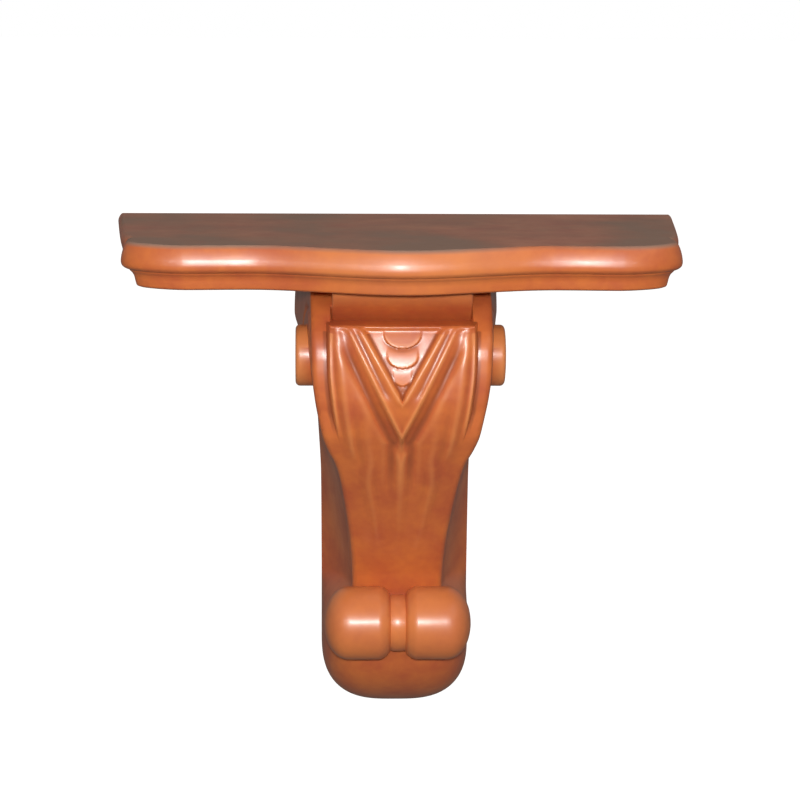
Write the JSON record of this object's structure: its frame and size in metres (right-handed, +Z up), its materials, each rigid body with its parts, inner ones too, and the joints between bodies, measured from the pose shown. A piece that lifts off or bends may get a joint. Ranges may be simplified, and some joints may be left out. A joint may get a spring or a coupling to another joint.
{
  "type": "wall bracket corbel",
  "caption": "Glossy terracotta wall bracket: a serpentine moulded shelf carried by a scroll corbel with a carved leaf, side eyes, a lower roll and a rounded foot.",
  "frame": {"origin": "on the flat back of the corbel, on its centre line, 150 mm below the top of the shelf, where the bracket is fixed to the wall", "axes": "+Z up; the back lies on y = 0 and the front faces -Y; +X is to the right as seen from the front"},
  "size_m": [0.3882, 0.19, 0.3482],
  "materials": {
    "shelf_glaze": "clear gloss glaze over an orange-brown fired body, smooth moulded surface",
    "corbel_glaze": "clear gloss glaze over an orange-brown fired body, soft-edged carving"
  },
  "bodies": {
    "root": {"shelf": "shelf_glaze", "corbel": "corbel_glaze"}
  },
  "joints": []
}
